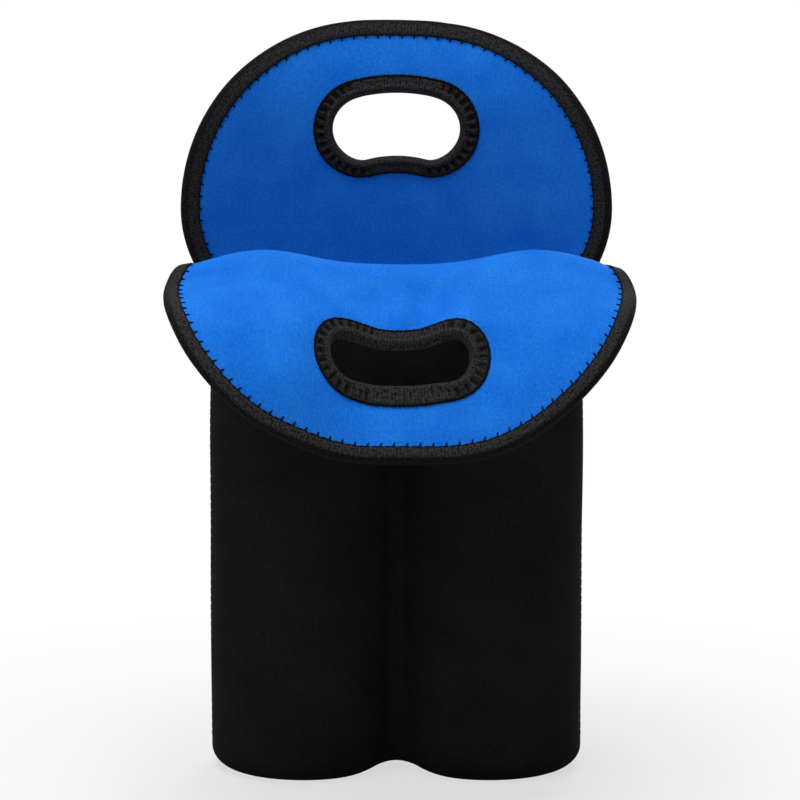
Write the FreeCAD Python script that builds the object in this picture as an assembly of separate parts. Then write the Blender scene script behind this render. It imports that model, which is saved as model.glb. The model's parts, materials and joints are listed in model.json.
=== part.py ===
import math
import os

import FreeCAD
import Part

# Two-pocket soft carrier, in mm. +Z is up, +X is to the right and the front faces -Y.
# The origin is on the floor, midway between the two pockets.

# Cloth
shell_thickness = 3.2
lining_thickness = 0.8
glue_gap = 0.05

# Pockets
pocket_bore = 78.0
crease_radius = 7.0
heel_radius = 10.0
base_seam_land = 1.5
shoulder_height = 180.0
divider_below_shoulder = 3.0
seam_tape_width = 12.0
seam_tape_thickness = 0.5
seam_tape_end_margin = 4.0

# Mouth, above the pockets
shoulder_rise = 34.0
collar_rise = 19.5
mouth_side_flare = 1.5
mouth_front_flare = 5.5
mouth_middle_half_width = 14.0
front_collar_end_radius = 31.0
front_collar_end_turn = 80.0

# Folds at the roots of the two heads
fold_land = 4.0
fold_inner_radius = 0.6
fold_end_gap = 0.3
front_fold_angle = 117.0

# Heads, as cut flat
head_curve_radius = 230.0
head_droop_radius = 190.0
head_half_width = 104.3
neck_narrowing = 5.0
head_height = 108.5
widest_above_hinge = 22.5
crown_flat_half_width = 15.0

# Hand cut-outs
handle_length = 64.0
handle_width = 30.0
handle_bend_radius = 70.0
handle_above_hinge = 61.0

# Binding tape
binding_thickness = 1.0
edge_binding_width = 6.5
handle_binding_width = 7.6

# Sizes that follow from the ones above
wall = shell_thickness + lining_thickness
pocket_radius = pocket_bore / 2 + wall
half_pitch = pocket_radius
crease_offset = math.sqrt((pocket_radius + crease_radius) ** 2 - half_pitch ** 2)
mouth_half_width = half_pitch + pocket_radius + mouth_side_flare
mouth_half_depth = pocket_radius + mouth_front_flare
head_centre = head_curve_radius - mouth_half_depth
mouth_end_radius = (head_curve_radius ** 2 - mouth_half_width ** 2 - head_centre ** 2) / (
    2 * (head_curve_radius - mouth_half_width))
mouth_end_centre = mouth_half_width - mouth_end_radius
mouth_height = shoulder_height + shoulder_rise
collar_height = mouth_height + collar_rise
hinge_height = collar_height + fold_land
hinge_offset = mouth_half_depth + fold_inner_radius
head_foot = fold_land + fold_end_gap
front_corner_radius = widest_above_hinge - head_foot
neck_half_width = head_half_width - neck_narrowing
front_fold_half_width = neck_half_width - front_collar_end_radius
back_neck_half_width = head_curve_radius * math.sin(neck_half_width / head_curve_radius)
back_half_width = head_curve_radius * math.sin(head_half_width / head_curve_radius)
back_narrowing = back_half_width - back_neck_half_width
back_corner_radius = (back_narrowing ** 2 + widest_above_hinge ** 2) / (2 * back_narrowing)
crown_rise = head_height - widest_above_hinge
half_droop = math.degrees(head_height / head_droop_radius) / 2
far = 4 * (head_half_width + head_height)


def point(x, y, z=0.0):
    return FreeCAD.Vector(x, y, z)


def line(start, end):
    return Part.makeLine(start, end)


def edge(run):
    # A run is a start, a middle and an end: an arc, or a line where the three are in line.
    start, middle, end = run
    if (middle - (start + end) * 0.5).Length < 1e-6:
        return line(start, end)
    return Part.Arc(start, middle, end).toShape()


def angle_of(centre_x, centre_y, x, y):
    return math.degrees(math.atan2(y - centre_y, x - centre_x))


def circle_point(centre_x, centre_y, radius, degrees):
    turn = math.radians(degrees)
    return point(centre_x + radius * math.cos(turn), centre_y + radius * math.sin(turn))


def circle_run(centre_x, centre_y, radius, start_angle, end_angle):
    turns = (start_angle, (start_angle + end_angle) / 2, end_angle)
    return [circle_point(centre_x, centre_y, radius, turn) for turn in turns]


def straight_run(start, end):
    return [start, (start + end) * 0.5, end]


def front_half(side, lobe, middle):
    # Adds the left side to the three runs on the right, to make the front half of a section.
    left = [[point(-p.x, p.y) for p in reversed(run)] for run in (lobe, side)]
    return [side, lobe, middle] + left


def pocket_section(depth):
    # Front half of the figure of eight, at a depth below the outer surface.
    lobe_radius = pocket_radius - depth
    crease_start = math.degrees(math.atan2(crease_offset, half_pitch))
    side = circle_run(half_pitch, 0, lobe_radius, 0, -90)
    lobe = circle_run(half_pitch, 0, lobe_radius, -90, crease_start - 180)
    crease = circle_run(0, -crease_offset, crease_radius + depth, crease_start, 180 - crease_start)
    return front_half(side, lobe, crease)


def curved_middle(depth, start_angle):
    # Runs along the curve of the head, from an angle on the right to the middle.
    radius = head_curve_radius - depth
    inner = -math.degrees(math.acos(mouth_middle_half_width / head_curve_radius))
    lobe = circle_run(0, head_centre, radius, start_angle, inner)
    middle = circle_run(0, head_centre, radius, inner, -180 - inner)
    return lobe, middle


def mouth_section(depth):
    # Front half of the closed oval mouth, where the side seams end.
    meeting = angle_of(0, head_centre, mouth_end_centre, 0)
    side = circle_run(mouth_end_centre, 0, mouth_end_radius - depth, 0, meeting)
    return front_half(side, *curved_middle(depth, meeting))


def back_collar_section(depth):
    # Open top of the mouth, all on the curve of the head.
    outer = -math.degrees(math.acos(back_neck_half_width / head_curve_radius))
    meeting = angle_of(0, head_centre, mouth_end_centre, 0)
    side = circle_run(0, head_centre, head_curve_radius - depth, outer, meeting)
    return front_half(side, *curved_middle(depth, meeting))


def front_collar_section(depth):
    # Open top of the mouth, straight under the fold, with its ends drawn back.
    y = depth - mouth_half_depth
    centre_y = front_collar_end_radius - mouth_half_depth
    side = circle_run(front_fold_half_width, centre_y, front_collar_end_radius - depth,
                      front_collar_end_turn - 90, -90)
    lobe = straight_run(point(front_fold_half_width, y), point(mouth_middle_half_width, y))
    middle = straight_run(lobe[2], point(-mouth_middle_half_width, y))
    return front_half(side, lobe, middle)


def between(first, second, share):
    ease = share * share * (3 - 2 * share)
    return [[p + (q - p) * ease for p, q in zip(a, b)] for a, b in zip(first, second)]


def band_wire(outer, inner, height):
    inner_back = [list(reversed(run)) for run in reversed(inner)]
    edges = [edge(run) for run in outer]
    edges.append(line(outer[-1][2], inner_back[0][0]))
    edges += [edge(run) for run in inner_back]
    edges.append(line(inner_back[-1][2], outer[0][0]))
    wire = Part.Wire(edges)
    wire.translate(point(0, 0, height))
    return wire


def shoulder(collar_section):
    # Full wall between the plain pockets and a fold, on the front side.
    wires = []
    steps = 4
    for step in range(steps + 1):
        share = step / steps
        outer = between(pocket_section(0), mouth_section(0), share)
        inner = between(pocket_section(wall), mouth_section(wall), share)
        wires.append(band_wire(outer, inner, shoulder_height + share * shoulder_rise))
    lower = Part.makeLoft(wires, True, True)
    top = band_wire(collar_section(0), collar_section(wall), collar_height)
    return lower.fuse(Part.makeLoft([wires[-1], top], True, True))


def figure_of_eight(inset):
    front = pocket_section(inset)
    back = [[point(p.x, -p.y) for p in reversed(run)] for run in reversed(front)]
    return Part.Face(Part.Wire([edge(run) for run in front + back]))


def plate(inset, bottom, top):
    slab = figure_of_eight(inset).extrude(point(0, 0, top - bottom))
    slab.translate(point(0, 0, bottom))
    return slab


def level_edges(shape, height):
    boxes = [(part, part.BoundBox) for part in shape.Edges]
    return [part for part, box in boxes if abs(box.ZMin - height) + abs(box.ZMax - height) < 1e-6]


def pocket_block(depth):
    # Solid figure of eight at a depth below the outer surface, its heel rounded by three bevels.
    block = plate(depth, depth, shoulder_height)
    radius = heel_radius - depth
    half_corner = radius * math.tan(math.radians(22.5))
    middle_bevel = radius - half_corner
    side_bevel = half_corner - radius * math.tan(math.radians(11.25))
    block = block.makeChamfer(middle_bevel, level_edges(block, depth))
    rims = level_edges(block, depth) + level_edges(block, depth + middle_bevel)
    return block.makeChamfer(side_bevel, rims)


def pocket_layer(outer_depth, inner_depth, top):
    # One layer of the plain pockets on the front side, without the base.
    layer = pocket_block(outer_depth).cut(pocket_block(inner_depth))
    layer = layer.cut(plate(heel_radius + base_seam_land, 0, wall + heel_radius))
    return layer.common(Part.makeBox(2 * far, far, top, point(-far, -far, 0)))


def panel(collar_section):
    # Outer cloth of the pockets on the front side, with the full wall above the shoulder.
    outside = pocket_layer(0, shell_thickness - glue_gap, shoulder_height)
    return outside.fuse(shoulder(collar_section)).removeSplitter()


def divider():
    # Web between the two creases, level with the inside of the lining.
    top = shoulder_height - divider_below_shoulder
    slot = Part.makeBox(2 * wall, 2 * far, top, point(-wall, -far, 0))
    return pocket_block(wall).common(slot)


def seam_tape(side):
    # Flat tape on the inside of one side seam.
    bore = pocket_bore / 2 - glue_gap
    half_angle = math.degrees(seam_tape_width / 2 / bore)
    low = wall + heel_radius
    high = shoulder_height - seam_tape_end_margin
    outer = circle_run(half_pitch, 0, bore, -half_angle, half_angle)
    inner = circle_run(half_pitch, 0, bore - seam_tape_thickness, -half_angle, half_angle)
    tape = Part.Face(band_wire([outer], [inner], low)).extrude(point(0, 0, high - low))
    if side < 0:
        tape = tape.mirror(point(0, 0), point(1, 0))
    return tape


def straight_sheet(outer_depth, inner_depth, half_width):
    runs = []
    for depth in (outer_depth, inner_depth):
        y = depth - mouth_half_depth
        runs.append(straight_run(point(half_width, y), point(-half_width, y)))
    return Part.Face(band_wire([runs[0]], [runs[1]], hinge_height))


def curved_sheet(outer_depth, inner_depth, half_width):
    turn = math.degrees(math.acos(half_width / head_curve_radius))
    runs = []
    for depth in (outer_depth, inner_depth):
        runs.append(circle_run(0, head_centre, head_curve_radius - depth, -turn, turn - 180))
    return Part.Face(band_wire([runs[0]], [runs[1]], hinge_height))


def front_blank(outer_depth, inner_depth):
    # Drooping sheet, larger than the head, turned so that its chord stands upright.
    centre_y = wall / 2 - mouth_half_depth - head_droop_radius
    first = math.degrees(head_foot / head_droop_radius)
    last = 2 * half_droop + math.degrees(4 * binding_thickness / head_droop_radius)
    half_width = head_half_width + 4 * binding_thickness
    runs = []
    for depth in (outer_depth, inner_depth):
        radius = head_droop_radius - wall / 2 + depth
        turns = circle_run(centre_y, hinge_height, radius, first, last)
        runs.append([point(-half_width, p.x, p.y) for p in turns])
    sheet = Part.Face(band_wire([runs[0]], [runs[1]], 0)).extrude(point(2 * half_width, 0))
    return turn_at_fold(sheet, -half_droop)


def back_blank(outer_depth, inner_depth):
    # Upright curved sheet on the front side, larger than the head.
    margin = 4 * binding_thickness
    band = curved_sheet(outer_depth, inner_depth, back_half_width + margin)
    band.translate(point(0, 0, head_foot))
    return band.extrude(point(0, 0, head_height + margin - head_foot))


def upright_run(centre_x, centre_height, radius, start_angle, end_angle):
    turns = circle_run(centre_x, centre_height, radius, start_angle, end_angle)
    return [point(p.x, 0, hinge_height + p.y) for p in turns]


def quarter_ellipse(centre, across, up):
    # The longer half axis comes first, as an ellipse needs it.
    half_axes = sorted((across, up), key=lambda axis: -axis.Length)
    curve = Part.Ellipse(centre + half_axes[0], centre + half_axes[1], centre)
    return curve.toShape(0, math.pi / 2)


def front_view_cutter(edges):
    face = Part.Face(Part.Wire(edges))
    return face.extrude(point(0, -far, 0))


def head_cutter(grow, half_width, corner_radius):
    # Outline of a head from the front, grown all round except at its foot.
    corner = corner_radius + grow
    sweep = math.degrees(math.asin(min(1, front_corner_radius / corner)))
    corner_centre = half_width - corner_radius
    side = upright_run(corner_centre, widest_above_hinge, corner, -sweep, 0)
    foot = point(side[0].x, 0, hinge_height + fold_land / 2)
    reach = half_width + grow - crown_flat_half_width
    rise = crown_rise + grow
    haunch_centre = point(crown_flat_half_width, 0, hinge_height + widest_above_hinge)
    haunch = quarter_ellipse(haunch_centre, point(reach, 0), point(0, 0, rise))
    right = [line(foot, side[0]), edge(side), haunch]
    left = [piece.mirror(point(0, 0), point(1, 0)) for piece in reversed(right)]
    crown_end = haunch_centre + point(0, 0, rise)
    crown = line(crown_end, point(-crown_end.x, 0, crown_end.z))
    closing = line(point(-foot.x, 0, foot.z), foot)
    return front_view_cutter(right + [crown] + left + [closing])


def handle_cutter(grow):
    # Bent slot for the hand, convex towards the top of the head.
    half_width = handle_width / 2 + grow
    reach = (handle_length - handle_width) / 2
    swing = math.degrees(math.asin(reach / handle_bend_radius))
    pivot = handle_above_hinge - handle_bend_radius
    end = circle_point(0, pivot, handle_bend_radius, 90 - swing)
    runs = [
        upright_run(0, pivot, handle_bend_radius + half_width, 90 - swing, 90 + swing),
        upright_run(-end.x, end.y, half_width, 90 + swing, 270 + swing),
        upright_run(0, pivot, handle_bend_radius - half_width, 90 + swing, 90 - swing),
        upright_run(end.x, end.y, half_width, -90 - swing, 90 - swing),
    ]
    return front_view_cutter([edge(run) for run in runs])


def head_layer(blank, outline, outer_depth, inner_depth):
    return blank(outer_depth, inner_depth).common(head_cutter(0, *outline)).cut(handle_cutter(0))


def edge_binding(blank, outline):
    # Tape folded over the edge of a head, on both faces.
    tape = blank(-binding_thickness, wall + binding_thickness)
    tape = tape.common(head_cutter(binding_thickness, *outline))
    tape = tape.cut(head_cutter(-edge_binding_width, *outline))
    return tape.cut(blank(0, wall).common(head_cutter(0, *outline)))


def handle_binding(blank):
    # Tape folded over the edge of a hand cut-out, on both faces.
    tape = blank(-binding_thickness, wall + binding_thickness)
    tape = tape.common(handle_cutter(handle_binding_width)).cut(handle_cutter(-binding_thickness))
    return tape.cut(blank(0, wall).cut(handle_cutter(0)))


def turn_at_fold(shape, angle):
    turned = shape.copy()
    turned.rotate(point(0, -hinge_offset, hinge_height), point(1, 0), angle)
    return turned


def fold_over(shape):
    # Turns a front head, with its chord upright, into its resting place.
    return turn_at_fold(shape, front_fold_angle + half_droop)


def to_back(shape):
    return shape.mirror(point(0, 0), point(0, 1))


def front_fold(outer_depth, inner_depth):
    # Strip of cloth bent round the fold, with a short straight land on each side.
    strip = straight_sheet(outer_depth, inner_depth, front_fold_half_width)
    bend = strip.revolve(point(0, -hinge_offset, hinge_height), point(1, 0), front_fold_angle)
    lower_land = strip.extrude(point(0, 0, -fold_land))
    upper_land = turn_at_fold(strip.extrude(point(0, 0, fold_land)), front_fold_angle)
    return lower_land.fuse([bend, upper_land])


def back_fold(outer_depth, inner_depth):
    strip = curved_sheet(outer_depth, inner_depth, back_neck_half_width)
    strip.translate(point(0, 0, -fold_land))
    return to_back(strip.extrude(point(0, 0, 2 * fold_land)))


def write(name, shape):
    if len(shape.Solids) != 1 or not shape.isValid():
        raise RuntimeError(name + " is not one sound solid")
    shape.Solids[0].exportStep("parts/" + name + ".step")


os.makedirs("parts", exist_ok=True)

pocket_lining = pocket_layer(shell_thickness, wall, shoulder_height - glue_gap)
write("front_panel", panel(front_collar_section))
write("back_panel", to_back(panel(back_collar_section)))
write("front_panel_lining", pocket_lining)
write("back_panel_lining", to_back(pocket_lining))

front_outline = (head_half_width, front_corner_radius)
back_outline = (back_half_width, back_corner_radius)
layers = {"": (0, shell_thickness - glue_gap), "_lining": (shell_thickness, wall)}
for suffix, depths in layers.items():
    write("base_panel" + suffix, plate(heel_radius + base_seam_land, *depths))
    write("front_fold" + suffix, front_fold(*depths))
    write("back_fold" + suffix, back_fold(*depths))
    write("front_flap" + suffix, fold_over(head_layer(front_blank, front_outline, *depths)))
    write("back_flap" + suffix, to_back(head_layer(back_blank, back_outline, *depths)))

write("front_flap_binding", fold_over(edge_binding(front_blank, front_outline)))
write("back_flap_binding", to_back(edge_binding(back_blank, back_outline)))
write("front_handle_binding", fold_over(handle_binding(front_blank)))
write("back_handle_binding", to_back(handle_binding(back_blank)))
write("centre_divider", divider())
write("left_seam_tape", seam_tape(-1))
write("right_seam_tape", seam_tape(1))
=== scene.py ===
import json
import math

import bmesh
import bpy
import numpy as np
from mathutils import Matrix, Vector


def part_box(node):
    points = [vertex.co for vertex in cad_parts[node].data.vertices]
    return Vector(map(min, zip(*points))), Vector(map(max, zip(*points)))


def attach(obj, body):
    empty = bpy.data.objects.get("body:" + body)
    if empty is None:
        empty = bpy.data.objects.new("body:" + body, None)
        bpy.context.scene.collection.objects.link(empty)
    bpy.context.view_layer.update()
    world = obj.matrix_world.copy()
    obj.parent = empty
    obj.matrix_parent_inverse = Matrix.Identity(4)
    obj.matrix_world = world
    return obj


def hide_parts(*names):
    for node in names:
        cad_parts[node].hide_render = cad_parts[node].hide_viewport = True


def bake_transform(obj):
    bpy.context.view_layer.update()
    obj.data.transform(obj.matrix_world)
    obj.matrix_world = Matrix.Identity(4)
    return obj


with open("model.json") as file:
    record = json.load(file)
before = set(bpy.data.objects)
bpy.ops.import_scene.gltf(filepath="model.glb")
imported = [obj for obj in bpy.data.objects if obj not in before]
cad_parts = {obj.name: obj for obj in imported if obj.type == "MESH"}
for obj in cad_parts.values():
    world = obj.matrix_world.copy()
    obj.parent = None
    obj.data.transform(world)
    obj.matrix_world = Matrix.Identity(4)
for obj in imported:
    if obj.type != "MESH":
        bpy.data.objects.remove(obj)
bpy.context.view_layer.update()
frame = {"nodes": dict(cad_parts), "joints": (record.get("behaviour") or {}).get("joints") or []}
mm = 0.001
print("frame loaded:", len(frame["nodes"]), "nodes")

joints = {joint["name"]: joint for joint in frame["joints"]}
frontHinge = np.array(joints["front_head_fold"]["pos_m"])
backHinge = np.array(joints["back_head_fold"]["pos_m"])
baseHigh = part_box("base_panel")[1]
panelLow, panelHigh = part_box("front_panel")


# Materials

def srgb(code):
    parts = [int(code[i:i + 2], 16) / 255 for i in (1, 3, 5)]
    return tuple(p / 12.92 if p <= 0.04045 else ((p + 0.055) / 1.055) ** 2.4 for p in parts) + (1.0,)


def feed(tree, node, inputs):
    # a node given as a value stands for its first output
    for name, value in inputs.items():
        if isinstance(value, bpy.types.Node):
            value = value.outputs[0]
        if isinstance(value, bpy.types.NodeSocket):
            tree.links.new(value, node.inputs[name])
        else:
            node.inputs[name].default_value = value


def addNode(tree, kind, inputs=None, **settings):
    made = tree.nodes.new(kind)
    for name, value in settings.items():
        setattr(made, name, value)
    feed(tree, made, inputs or {})
    return made


def newMaterial(name):
    made = bpy.data.materials.new(name)
    made.use_nodes = True
    tree = made.node_tree
    return made, tree, tree.nodes["Principled BSDF"]


def waveScale(pitch):
    # a wave texture has 20 / (2 pi) bands to a unit of its scale
    return 1 / (pitch * mm) / 20 * 2 * math.pi


def finishKnit(tree, shader, look, dyed, shade, height):
    # colour between a deep and a light tone, shaded, and the relief of the knit
    dye = addNode(tree, "ShaderNodeValToRGB", {"Fac": dyed})
    for stop, place, tone in zip(dye.color_ramp.elements, look["stops"], ("deep", "light")):
        stop.position = place
        stop.color = srgb(look[tone])
    tinted = addNode(tree, "ShaderNodeVectorMath", {0: dye, "Scale": shade}, operation="SCALE")
    bump = addNode(tree, "ShaderNodeBump", {
        "Height": height, "Strength": look["bump"], "Distance": look["relief"] * mm})
    feed(tree, shader, {
        "Base Color": tinted, "Normal": bump, "Roughness": look["roughness"],
        "Specular IOR Level": look["specular"]})


def jerseyCloth(name, look):
    # knitted face cloth on foam: matt, a soft bloom at the edges, faint wales and a cloudy dye
    made, tree, shader = newMaterial(name)
    uv = addNode(tree, "ShaderNodeUVMap", uv_map="cloth")
    clouds = addNode(tree, "ShaderNodeTexNoise", {
        "Vector": uv, "Scale": 1 / (look["cloudSize"] * mm), "Detail": 3.0, "Roughness": 0.6})
    grain = addNode(tree, "ShaderNodeTexNoise", {
        "Vector": uv, "Scale": 1 / (look["grainSize"] * mm), "Detail": 2.0, "Roughness": 0.7})
    wales = addNode(tree, "ShaderNodeTexWave", {
        "Vector": uv, "Scale": waveScale(look["walePitch"]), "Distortion": 1.5, "Detail": 2.0,
        "Detail Scale": 2.0}, bands_direction="X")
    shade = addNode(tree, "ShaderNodeMapRange", {
        "Value": grain, "From Min": 0.3, "From Max": 0.7,
        "To Min": 1 - look["grainContrast"], "To Max": 1 + look["grainContrast"]})
    height = addNode(tree, "ShaderNodeMath", {
        0: wales.outputs["Fac"], 1: look["waleShare"], 2: grain}, operation="MULTIPLY_ADD")
    finishKnit(tree, shader, look, clouds, shade, height)
    feed(tree, shader, {
        "Sheen Weight": look["sheen"], "Sheen Roughness": look["sheenRoughness"],
        "Sheen Tint": srgb(look["sheenTint"])})
    return made


def bindingTape(name, look):
    # knitted polyester binding: charcoal black, close cross ribs, a worn grey bloom on the ridges
    made, tree, shader = newMaterial(name)
    uv = addNode(tree, "ShaderNodeUVMap", uv_map="cloth")
    ribs = addNode(tree, "ShaderNodeTexWave", {
        "Vector": uv, "Scale": waveScale(look["ribPitch"]), "Distortion": 2.5, "Detail": 2.0,
        "Detail Scale": 3.0}, bands_direction="X")
    flecks = addNode(tree, "ShaderNodeTexNoise", {
        "Vector": uv, "Scale": 1 / (look["fleckSize"] * mm), "Detail": 3.0, "Roughness": 0.65})
    height = addNode(tree, "ShaderNodeMath", {
        0: ribs.outputs["Fac"], 1: look["ribShare"], 2: flecks}, operation="MULTIPLY_ADD")
    # painted shade, read from a point attribute, darkens the colour in the rib grooves and along the tape's
    # turned rim
    paintedShade = addNode(tree, "ShaderNodeAttribute", attribute_name="paintedShade")
    shade = addNode(tree, "ShaderNodeMapRange", {
        "Value": paintedShade.outputs["Fac"], "To Min": 1.0, "To Max": look["paintedShadeDarkest"]})
    finishKnit(tree, shader, look, height, shade, height)
    return made


def sewingThread(name, look):
    # spun polyester thread: dark, slightly silky, with a fine twist
    made, tree, shader = newMaterial(name)
    place = addNode(tree, "ShaderNodeTexCoord").outputs["Object"]
    twist = addNode(tree, "ShaderNodeTexNoise", {
        "Vector": place, "Scale": 1 / (look["twistSize"] * mm), "Detail": 2.0})
    dye = addNode(tree, "ShaderNodeValToRGB", {"Fac": twist})
    for stop, tone in zip(dye.color_ramp.elements, ("deep", "light")):
        stop.color = srgb(look[tone])
    feed(tree, shader, {
        "Base Color": dye, "Roughness": look["roughness"], "Specular IOR Level": look["specular"]})
    return made


# sizes in mm; grain and wales are drawn about twice as coarse as the real knit, so that they show
blackJersey = jerseyCloth("blackJerseyOnFoam", {
    "deep": "#1a1a1a", "light": "#202020", "stops": (0.3, 0.7), "cloudSize": 30, "grainSize": 1.4,
    "grainContrast": 0.25, "walePitch": 1.3, "waleShare": 0.5, "bump": 0.35, "relief": 0.4,
    "roughness": 0.9, "specular": 0.02, "sheen": 0.0, "sheenRoughness": 0.45, "sheenTint": "#808088"})
blueJersey = jerseyCloth("blueJerseyLining", {
    "deep": "#0d6ad8", "light": "#1c7ae2", "stops": (0.3, 0.7), "cloudSize": 22, "grainSize": 1.3,
    "grainContrast": 0.2, "walePitch": 1.4, "waleShare": 0.5, "bump": 0.3, "relief": 0.4,
    "roughness": 0.85, "specular": 0.1, "sheen": 0.03, "sheenRoughness": 0.45, "sheenTint": "#9cc4ff"})
# on the tape, full painted shade in the rib grooves and at the rim leaves 0.12 of the colour
tapeKnit = bindingTape("knitBindingTape", {
    "deep": "#0d0d0e", "light": "#383739", "stops": (0.4, 0.7), "ribPitch": 1.5, "ribShare": 0.1,
    "fleckSize": 1.3, "paintedShadeDarkest": 0.12, "bump": 0.5, "relief": 0.3, "roughness": 0.85, "specular": 0.06})
thread = sewingThread("blackPolyesterThread", {
    "deep": "#060608", "light": "#0c0c10", "twistSize": 0.4, "roughness": 0.7, "specular": 0.05})
print("materials made")


# Cut of the cloth, in metres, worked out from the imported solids

def metres(size):
    return tuple(map(metres, size)) if isinstance(size, tuple) else size * mm


def inMm(**sizes):
    # a dictionary of sizes given in millimetres
    return {name: metres(size) for name, size in sizes.items()}


cloth = inMm(outside=2.0, join=-1.2, gap=0.05, inside=-2.0)
pocket = inMm(heel=10, seamLand=1.5, creaseRadius=7, shoulder=180, mouth=214, sideFlare=1.5, creaseLift=4.5,
              creaseSpread=14, creaseTop=24)
pocket["radius"] = baseHigh.y + pocket["heel"] + pocket["seamLand"]
pocket["pitch"] = baseHigh.x - baseHigh.y
pocket["creaseOffset"] = math.sqrt((pocket["radius"] + pocket["creaseRadius"]) ** 2 - pocket["pitch"] ** 2)
mouth = {"halfWidth": pocket["pitch"] + pocket["radius"] + pocket["sideFlare"], "halfDepth": -panelLow.y,
         "collar": panelHigh.z, "frontEndRadius": 31 * mm, "frontEndTurn": 80, "backFlare": 1.4}
head = inMm(curve=230, neck=99.3, half=104.3, height=108.5, widest=22.5, flat=15)
head["centre"] = head["curve"] - mouth["halfDepth"]
head["reach"] = head["half"] - head["flat"]
head["rise"] = head["height"] - head["widest"]
mouth["endRadius"] = (head["curve"] ** 2 - mouth["halfWidth"] ** 2 - head["centre"] ** 2) / (
    2 * (head["curve"] - mouth["halfWidth"]))
handle = inMm(length=64, width=30, bend=70, above=61)
handle["swing"] = math.asin((handle["length"] - handle["width"]) / 2 / handle["bend"])
handle["pivot"] = handle["above"] - handle["bend"]
middle = 0.5 * (cloth["outside"] - cloth["inside"])
# shares along a curve may run a little past its end
overrun = 1.2


def ease(share):
    share = np.clip(share, 0, 1)
    return share * share * (3 - 2 * share)


def rising(value, start, reach):
    return ease((value - start) / reach)


def bell(value, at, size):
    return np.exp(-((value - at) / size) ** 2)


def unit(vectors):
    return vectors / np.linalg.norm(vectors, axis=-1, keepdims=True)


def meshed(*fields):
    # fields on one grid, side by side
    return np.stack(np.broadcast_arrays(*fields), -1)


def arc(cx, cy, radius, start, end, count=160):
    turn = np.radians(np.linspace(start, end, count))
    return np.stack([cx + radius * np.cos(turn), cy + radius * np.sin(turn)], 1)


def runLength(points):
    return np.concatenate([[0], np.cumsum(np.linalg.norm(np.diff(points, axis=0), axis=1))])


def spread(points, shares):
    # points at shares of a line's length
    along = runLength(points)
    return np.stack([np.interp(shares, along / along[-1], column) for column in points.T], 1)


def bothSides(right):
    # a front half section from the left seam to the right seam
    left = right * np.array([-1, 1])
    return np.concatenate([left, right[::-1]])


def halfWidthAt(v):
    # half width of the cut at a height above the fold, up to the widest place
    return head["half"] - (head["half"] - head["neck"]) * np.clip(1 - v / head["widest"], 0, overrun) ** 2


def pocketSection(depth):
    start = math.degrees(math.atan2(pocket["creaseOffset"], pocket["pitch"]))
    lobe = arc(pocket["pitch"], 0, pocket["radius"] - depth, 0, start - 180)
    crease = arc(0, -pocket["creaseOffset"], pocket["creaseRadius"] + depth, start, 90, 40)
    return bothSides(np.concatenate([lobe, crease]))


def mouthSection(depth):
    endCentre = mouth["halfWidth"] - mouth["endRadius"]
    meeting = math.degrees(math.atan2(-head["centre"], endCentre))
    end = arc(endCentre, 0, mouth["endRadius"] - depth, 0, meeting)
    return bothSides(np.concatenate([end, arc(0, head["centre"], head["curve"] - depth, meeting, -90)]))


def frontCollarSection(depth):
    straight = head["neck"] - mouth["frontEndRadius"]
    centreY = mouth["frontEndRadius"] - mouth["halfDepth"]
    end = arc(straight, centreY, mouth["frontEndRadius"] - depth, mouth["frontEndTurn"] - 90, -90)
    return bothSides(np.concatenate([end, [[0, depth - mouth["halfDepth"]]]]))


def backCollarSection(depth):
    outer = math.degrees(halfWidthAt(mouth["collar"] - backHinge[2]) / head["curve"]) - 90
    return bothSides(arc(0, head["centre"], head["curve"] - depth, outer, -90))


# Sheets: rows go up the cloth, columns go from left to right, on the middle of its thickness

sheetCut = dict(inMm(wallStep=5, shoulderStep=2, collarStep=2, headStep=1.35, foldStart=226, foldEnd=2,
                     foldReach=20), columns=161, heelRows=10, foldRows=16)
# rows where the walls and the shoulder start, and where the free edge starts, just under the mouth
bodyRows = {"wall": 12, "shoulder": 46, "freeEdge": 60}
lastColumn = sheetCut["columns"] - 1
columnShare = np.linspace(0, 1, sheetCut["columns"])
columnSide = 2 * columnShare - 1
flipped = np.array([1, -1, 1])


def steps(start, end, step):
    return np.linspace(start, end, max(2, int(round((end - start) / step)) + 1))


def creaseLift(x, z):
    # the bottom edge rises where the two pockets meet
    return pocket["creaseLift"] * bell(x, 0, pocket["creaseSpread"]) * ease(1 - z / pocket["creaseTop"])


def lowerRows():
    # heel, pockets and shoulder of the front, up to the mouth
    rows = []
    inner = pocket["heel"] - middle
    for share in (1.0, 0.5):
        land = pocketSection(pocket["heel"] + share * pocket["seamLand"])
        rows.append((spread(land, columnShare), middle))
    for turn in np.radians(np.linspace(0, 90, sheetCut["heelRows"])):
        inset = pocket["heel"] - inner * math.sin(turn)
        rows.append((spread(pocketSection(inset), columnShare), pocket["heel"] - inner * math.cos(turn)))
    straight = spread(pocketSection(middle), columnShare)
    for z in steps(pocket["heel"], pocket["shoulder"], sheetCut["wallStep"])[1:]:
        rows.append((straight, z))
    atMouth = spread(mouthSection(middle), columnShare)
    for z in steps(pocket["shoulder"], pocket["mouth"], sheetCut["shoulderStep"])[1:]:
        share = rising(z, pocket["shoulder"], pocket["mouth"] - pocket["shoulder"])
        rows.append((straight + (atMouth - straight) * share, z))
    return [np.column_stack([flat, z + creaseLift(flat[:, 0], z)]) for flat, z in rows]


def collarRow(section, z, flare=None):
    rise = (z - pocket["mouth"]) / (mouth["collar"] - pocket["mouth"])
    share = np.array([ease(rise) if flare is None else rise ** flare, ease(rise)])
    low = spread(mouthSection(middle), columnShare)
    high = spread(section(middle), columnShare)
    return np.column_stack([low + (high - low) * share, np.full(len(low), z)])


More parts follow.
